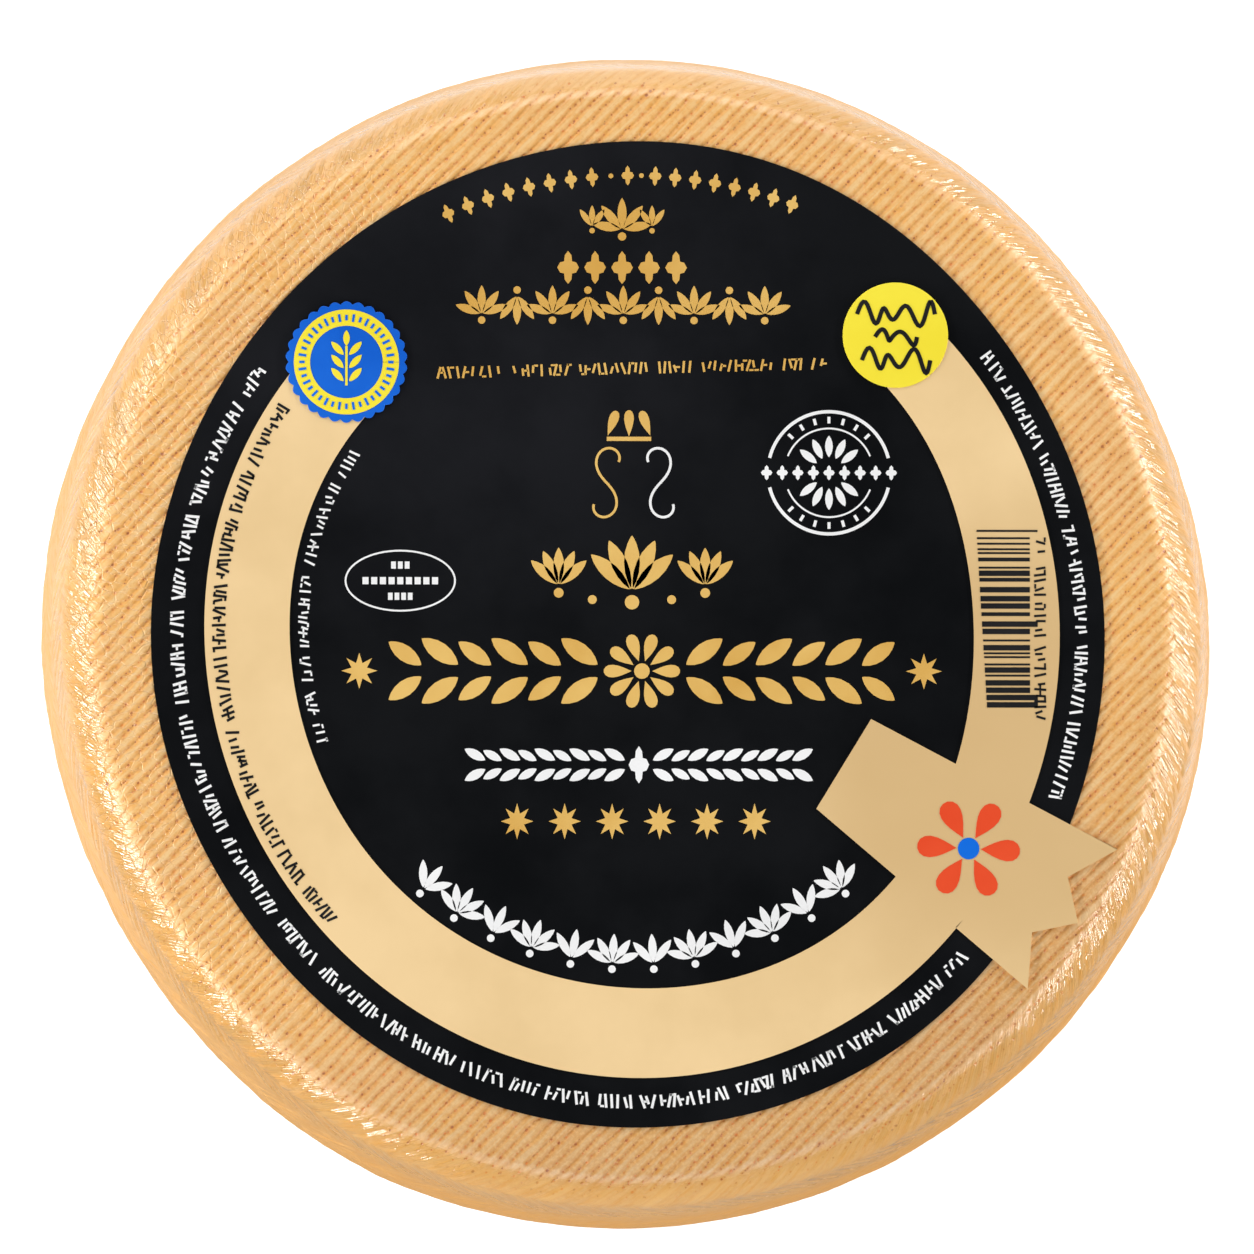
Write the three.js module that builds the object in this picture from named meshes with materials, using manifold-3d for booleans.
// A pressed cheese wheel lying flat, with its round paper label.
// Units are millimetres and +Z is up. The wheel rests on z = 0, the label faces up,
// and the axis of the wheel is the Z axis. +Y is the top edge of the label's design.

import * as THREE from 'three';
import { mergeVertices } from 'three/addons/utils/BufferGeometryUtils.js';
import Module from 'manifold-3d';

const wasm = await Module();
wasm.setup();

// Driving dimensions of the wheel

const WHEEL_RADIUS = 100;
const WHEEL_HEIGHT = 90;
const FACE_RADIUS_X = 88.0;
const FACE_RADIUS_Y = 90.4;
const BARREL_END_RADIUS = 95.6;
const SHOULDER_DROP = 7.0;
const SHOULDER_TURN = THREE.MathUtils.degToRad(76);
const PRESS_ALLOWANCE = 0.25;

// The cheese isn't quite round: each entry is a wave round the outline, with how many times
// it repeats in a turn, its height, and the angle in degrees where its first crest stands
const OUTLINE_WAVES = [
  { repeats: 2, height: 0.29, crest: -57 },
  { repeats: 3, height: 0.14, crest: 10 },
  { repeats: 4, height: 0.31, crest: -15 },
  { repeats: 6, height: 0.15, crest: -3 },
];

// Plaited imprint of the mould's band on the side: rows of slanting strands

const STRAND_COUNT = 120;
const STRAND_DEPTH = 0.36;
const ROW_COUNT = 9;
const ROW_LEAN = 9.0;
const SHOULDER_STEPS = 3;
const PROFILE_SAMPLES = 600;

// Ribbed imprint of the press boards on both faces

const RIB_PITCH = 1.8;
const RIB_GROOVE_WIDTH = 0.6;
const RIB_GROOVE_DEPTH = 0.32;
const RIB_GROOVE_SHIFT = 0.12;
const RIB_TURN = THREE.MathUtils.degToRad(45);
const PRESS_HALF_WIDTH = 120;

// Driving dimensions of the label and what is stuck on it

// The papers are cut a little unevenly too: a mean radius about the wheel's axis, with waves
const LABEL_OUTLINE = {
  radius: 80.53,
  waves: [
    { repeats: 1, height: 0.35, crest: -174 },
    { repeats: 2, height: 1.49, crest: -83 },
    { repeats: 3, height: 0.42, crest: -52 },
    { repeats: 4, height: 0.27, crest: -5 },
    { repeats: 5, height: 0.07, crest: 13 },
    { repeats: 6, height: 0.14, crest: 9 },
  ],
};
const LABEL_THICKNESS = 0.25;

const BAND_THICKNESS = 0.15;
const BAND_OUTER = {
  radius: 71.99,
  waves: [
    { repeats: 1, height: 0.64, crest: -58 },
    { repeats: 2, height: 0.81, crest: -82 },
    { repeats: 3, height: 0.54, crest: 44 },
    { repeats: 4, height: 0.07, crest: -26 },
  ],
};
const BAND_INNER = {
  radius: 57.92,
  waves: [
    { repeats: 1, height: 0.83, crest: -35 },
    { repeats: 2, height: 0.53, crest: -87 },
    { repeats: 3, height: 0.85, crest: 53 },
    { repeats: 4, height: 0.47, crest: -39 },
  ],
};
const BAND_START = THREE.MathUtils.degToRad(137);
const BAND_END = THREE.MathUtils.degToRad(410);

const RIBBON_START_RADIUS = 42.1;
const RIBBON_START_ANGLE = THREE.MathUtils.degToRad(-31.5);
const RIBBON_START_SPREAD = THREE.MathUtils.degToRad(12);
const RIBBON_TIP_RADIUS = 88.3;
const RIBBON_NOTCH_RADIUS = 82.9;
const RIBBON_TIP_ANGLE = THREE.MathUtils.degToRad(-32.9);
const RIBBON_TIP_SPREAD = THREE.MathUtils.degToRad(9);
const RIBBON_NOTCH_SPREAD = THREE.MathUtils.degToRad(3.8);
const RIBBON_LABEL_GAP = 0.3;

const SEAL_CENTRE = new THREE.Vector2(-47.7, 45.3);
const SEAL_RADIUS = 9.6;
const SEAL_SCALLOP_DEPTH = 0.55;
const SEAL_SCALLOPS = 30;

const STICKER_CENTRE = new THREE.Vector2(43.8, 50.0);
const STICKER_RADIUS = 8.8;
const STICKER_THICKNESS = 0.15;

const LABEL_SEGMENTS = 90;
const BAND_SEGMENTS = 70;
const ARC_SEGMENTS = 45;
const SCALLOP_SEGMENTS = 4;

// Colours and finishes read from the photograph, one for each kind of surface

const FINISHES = {
  rind: { color: 0xe4b071, roughness: 0.42, metalness: 0 },
  blackPaper: { color: 0x121315, roughness: 0.45, metalness: 0 },
  goldFoil: { color: 0xe6c690, roughness: 0.38, metalness: 0.35 },
  bluePaper: { color: 0x0066db, roughness: 0.4, metalness: 0 },
  yellowPaper: { color: 0xfae83d, roughness: 0.4, metalness: 0 },
};

function namedMesh(name, geometry, finish) {
  const mesh = new THREE.Mesh(geometry, new THREE.MeshStandardMaterial(FINISHES[finish]));
  mesh.name = name;
  return mesh;
}

// A geometry with its shared vertices merged, as a solid that can be joined and cut
function toSolid(geometry) {
  const bare = geometry.index ? geometry.toNonIndexed() : geometry.clone();
  bare.deleteAttribute('normal');
  bare.deleteAttribute('uv');
  const merged = mergeVertices(bare, 1e-4);
  return new wasm.Manifold(new wasm.Mesh({
    numProp: 3,
    vertProperties: new Float32Array(merged.attributes.position.array),
    triVerts: new Uint32Array(merged.index.array),
  }));
}

function toGeometry(solid) {
  const mesh = solid.getMesh();
  const geometry = new THREE.BufferGeometry();
  geometry.setAttribute('position', new THREE.BufferAttribute(mesh.vertProperties, mesh.numProp));
  geometry.setIndex(new THREE.BufferAttribute(mesh.triVerts, 1));
  geometry.computeVertexNormals();
  return geometry;
}

// A flat layer cut to an outline, lying between two heights
function layer(shape, bottom, thickness) {
  const geometry = new THREE.ExtrudeGeometry(shape, {
    depth: thickness,
    bevelEnabled: false,
    curveSegments: ARC_SEGMENTS,
  });
  return geometry.translate(0, 0, bottom);
}

function polar(radius, angle) {
  return new THREE.Vector2(radius * Math.cos(angle), radius * Math.sin(angle));
}

function waveOffset(waves, angle) {
  let offset = 0;
  for (const wave of waves) {
    const crest = THREE.MathUtils.degToRad(wave.crest);
    offset += wave.height * Math.cos(wave.repeats * (angle - crest));
  }
  return offset;
}

// Points along a paper's outline from one angle to another, with a margin outside it
function outlinePoints(outline, from, to, steps, margin = 0) {
  const points = [];
  for (let i = 0; i <= steps; i += 1) {
    const angle = from + (to - from) * i / steps;
    points.push(polar(outline.radius + waveOffset(outline.waves, angle) + margin, angle));
  }
  return points;
}

function faceRadius(angle) {
  return 1 / Math.hypot(Math.cos(angle) / FACE_RADIUS_X, Math.sin(angle) / FACE_RADIUS_Y);
}

// The upper half of the wheel's section, from the edge of the flat face down to mid height.
// Each point says how far it is from the face edge to the barrel's end (reach, 0 to 1),
// how much the barrel bulges beyond that end, and its height.
function upperSection() {
  const barrelBulge = WHEEL_RADIUS - BARREL_END_RADIUS;
  const top = WHEEL_HEIGHT + PRESS_ALLOWANCE;
  const barrelHalf = WHEEL_HEIGHT / 2 - SHOULDER_DROP;
  const points = [];
  for (let i = 0; i <= PROFILE_SAMPLES; i += 1) {
    const turn = SHOULDER_TURN * i / PROFILE_SAMPLES;
    points.push({
      reach: Math.sin(turn) / Math.sin(SHOULDER_TURN),
      bulge: 0,
      z: top - (SHOULDER_DROP + PRESS_ALLOWANCE) * (1 - Math.cos(turn)) / (1 - Math.cos(SHOULDER_TURN)),
    });
  }
  for (let i = 1; i <= PROFILE_SAMPLES; i += 1) {
    const rise = 1 - i / PROFILE_SAMPLES;
    points.push({
      reach: 1,
      bulge: barrelBulge * (1 - rise * rise),
      z: WHEEL_HEIGHT / 2 + barrelHalf * rise,
    });
  }
  return points;
}

function sectionRadius(point, angle) {
  const inner = faceRadius(angle);
  return inner + (BARREL_END_RADIUS - inner) * point.reach + point.bulge;
}

// The whole section is cut into rows of equal length, and a row on the shoulder into steps
function rowPoints() {
  const half = upperSection();
  const mirrored = half.slice(0, -1).reverse().map((p) => ({ ...p, z: WHEEL_HEIGHT - p.z }));
  const section = [...half, ...mirrored];
  const lengths = [0];
  for (let i = 1; i < section.length; i += 1) {
    const run = sectionRadius(section[i], 0) - sectionRadius(section[i - 1], 0);
    const drop = section[i].z - section[i - 1].z;
    lengths.push(lengths[i - 1] + Math.hypot(run, drop));
  }
  const total = lengths[lengths.length - 1];
  const stops = [];
  for (let row = 0; row < ROW_COUNT; row += 1) {
    const steps = row === 0 || row === ROW_COUNT - 1 ? SHOULDER_STEPS : 1;
    for (let step = 0; step < steps; step += 1) {
      stops.push(row + step / steps);
    }
  }
  stops.push(ROW_COUNT);
  return stops.map((stop) => {
    const wanted = total * stop / ROW_COUNT;
    const at = lengths.findIndex((length) => length >= wanted - 1e-9);
    return { ...section[at], stop };
  });
}

// Down from the upper face, a strand slants clockwise through one row and back through the next
function leanAt(stop) {
  const phase = stop % 2;
  return ROW_LEAN * (0.5 - (phase < 1 ? phase : 2 - phase));
}

// The relief of the strands fades out where the shoulder meets each face
function strandFade(stop) {
  const fromFace = Math.min(stop, ROW_COUNT - stop) * SHOULDER_STEPS;
  return Math.min(1, fromFace / 1.5);
}

function wheelBody() {
  const rows = rowPoints();
  const profile = [
    new THREE.Vector2(0, rows[rows.length - 1].z),
    ...rows.slice().reverse().map((p) => new THREE.Vector2(sectionRadius(p, 0), p.z)),
    new THREE.Vector2(0, rows[0].z),
  ];
  const columns = 2 * STRAND_COUNT;
  const geometry = new THREE.LatheGeometry(profile, columns).rotateX(Math.PI / 2);
  const position = geometry.attributes.position;
  for (let i = 0; i < position.count; i += 1) {
    const inProfile = i % profile.length;
    const column = Math.floor(i / profile.length) % columns;
    if (inProfile > 0 && inProfile < profile.length - 1) {
      const row = rows[rows.length - inProfile];
      const angle = (2 * Math.PI * column) / columns + leanAt(row.stop) / WHEEL_RADIUS;
      const strand = (column % 2 === 0 ? -1 : 1) * STRAND_DEPTH / 2;
      const relief = (strand - STRAND_DEPTH / 2) * strandFade(row.stop);
      const at = polar(sectionRadius(row, angle) + waveOffset(OUTLINE_WAVES, angle) * row.reach + relief, angle);
      position.setXYZ(i, at.x, at.y, row.z);
    }
  }
  return centred(geometry);
}

function centred(geometry) {
  geometry.computeBoundingBox();
  const middle = geometry.boundingBox.getCenter(new THREE.Vector3());
  return geometry.translate(-middle.x, -middle.y, 0);
}

// A slab as thick as the wheel is high. Its two faces carry the ribs, side by side, with a
// crest over the wheel's axis. Neighbouring grooves are set a little off their even places.
function ribbedSlab() {
  const count = Math.ceil((FACE_RADIUS_Y + RIB_PITCH) / RIB_PITCH);
  const half = RIB_GROOVE_WIDTH / 2;
  const grooves = [];
  for (let i = -count; i < count; i += 1) {
    grooves.push((i + 0.5) * RIB_PITCH + RIB_GROOVE_SHIFT * Math.sin(2.4 * i));
  }
  const shape = new THREE.Shape();
  shape.moveTo(-PRESS_HALF_WIDTH, 0);
  for (const x of grooves) {
    shape.lineTo(x - half, 0);
    shape.lineTo(x, RIB_GROOVE_DEPTH);
    shape.lineTo(x + half, 0);
  }
  shape.lineTo(PRESS_HALF_WIDTH, 0);
  shape.lineTo(PRESS_HALF_WIDTH, WHEEL_HEIGHT);
  for (const x of grooves.slice().reverse()) {
    shape.lineTo(x + half, WHEEL_HEIGHT);
    shape.lineTo(x, WHEEL_HEIGHT - RIB_GROOVE_DEPTH);
    shape.lineTo(x - half, WHEEL_HEIGHT);
  }
  shape.lineTo(-PRESS_HALF_WIDTH, WHEEL_HEIGHT);
  const geometry = new THREE.ExtrudeGeometry(shape, { depth: 2 * PRESS_HALF_WIDTH, bevelEnabled: false });
  geometry.translate(0, 0, -PRESS_HALF_WIDTH);
  geometry.rotateX(Math.PI / 2);
  return geometry.rotateZ(RIB_TURN - Math.PI / 2);
}

function cheeseWheel() {
  const wheel = toSolid(wheelBody()).intersect(toSolid(ribbedSlab()));
  return namedMesh('cheese_wheel', toGeometry(wheel), 'rind');
}

function labelOutline(margin) {
  return new THREE.Shape(outlinePoints(LABEL_OUTLINE, 0, 2 * Math.PI, LABEL_SEGMENTS, margin).slice(0, -1));
}

function label() {
  return namedMesh('label', layer(labelOutline(0), WHEEL_HEIGHT, LABEL_THICKNESS), 'blackPaper');
}

function ringOutline() {
  return new THREE.Shape([
    ...outlinePoints(BAND_OUTER, BAND_START, BAND_END, BAND_SEGMENTS),
    ...outlinePoints(BAND_INNER, BAND_END, BAND_START, BAND_SEGMENTS),
  ]);
}

// The ribbon widens outwards and ends over the rind in three points with two notches
function ribbonOutline() {
  return new THREE.Shape([
    polar(RIBBON_START_RADIUS, RIBBON_START_ANGLE - RIBBON_START_SPREAD),
    polar(RIBBON_TIP_RADIUS, RIBBON_TIP_ANGLE - RIBBON_TIP_SPREAD),
    polar(RIBBON_NOTCH_RADIUS, RIBBON_TIP_ANGLE - RIBBON_NOTCH_SPREAD),
    polar(RIBBON_TIP_RADIUS, RIBBON_TIP_ANGLE),
    polar(RIBBON_NOTCH_RADIUS, RIBBON_TIP_ANGLE + RIBBON_NOTCH_SPREAD),
    polar(RIBBON_TIP_RADIUS, RIBBON_TIP_ANGLE + RIBBON_TIP_SPREAD),
    polar(RIBBON_START_RADIUS, RIBBON_START_ANGLE + RIBBON_START_SPREAD),
  ]);
}

// The gold band lies on the label. Past the label's edge the ribbon's end steps down on to the ribs.
function goldBand() {
  const lift = WHEEL_HEIGHT + LABEL_THICKNESS;
  const whole = LABEL_THICKNESS + BAND_THICKNESS;
  const ring = toSolid(layer(ringOutline(), lift, BAND_THICKNESS));
  const ribbon = toSolid(layer(ribbonOutline(), lift, BAND_THICKNESS));
  const tail = toSolid(layer(ribbonOutline(), WHEEL_HEIGHT, whole));
  const underLabel = toSolid(layer(labelOutline(RIBBON_LABEL_GAP), WHEEL_HEIGHT - whole, 3 * whole));
  const band = ring.add(ribbon).add(tail.subtract(underLabel));
  return namedMesh('gold_band', toGeometry(band), 'goldFoil');
}

function stuckOn(name, centre, shape, finish) {
  const bottom = WHEEL_HEIGHT + LABEL_THICKNESS + BAND_THICKNESS;
  const mesh = namedMesh(name, layer(shape, bottom, STICKER_THICKNESS), finish);
  mesh.position.set(centre.x, centre.y, 0);
  return mesh;
}

function roundSeal() {
  const steps = SEAL_SCALLOPS * SCALLOP_SEGMENTS;
  const points = [];
  for (let i = 0; i < steps; i += 1) {
    const angle = (2 * Math.PI * i) / steps;
    const scallop = Math.abs(Math.sin(SEAL_SCALLOPS * angle / 2));
    points.push(polar(SEAL_RADIUS + SEAL_SCALLOP_DEPTH * scallop, angle));
  }
  return stuckOn('round_seal', SEAL_CENTRE, new THREE.Shape(points), 'bluePaper');
}

function yellowSticker() {
  const shape = new THREE.Shape();
  shape.absarc(0, 0, STICKER_RADIUS, 0, 2 * Math.PI, false);
  return stuckOn('yellow_sticker', STICKER_CENTRE, shape, 'yellowPaper');
}

const cheese = new THREE.Group();
cheese.add(cheeseWheel(), label(), goldBand(), roundSeal(), yellowSticker());

export default cheese;
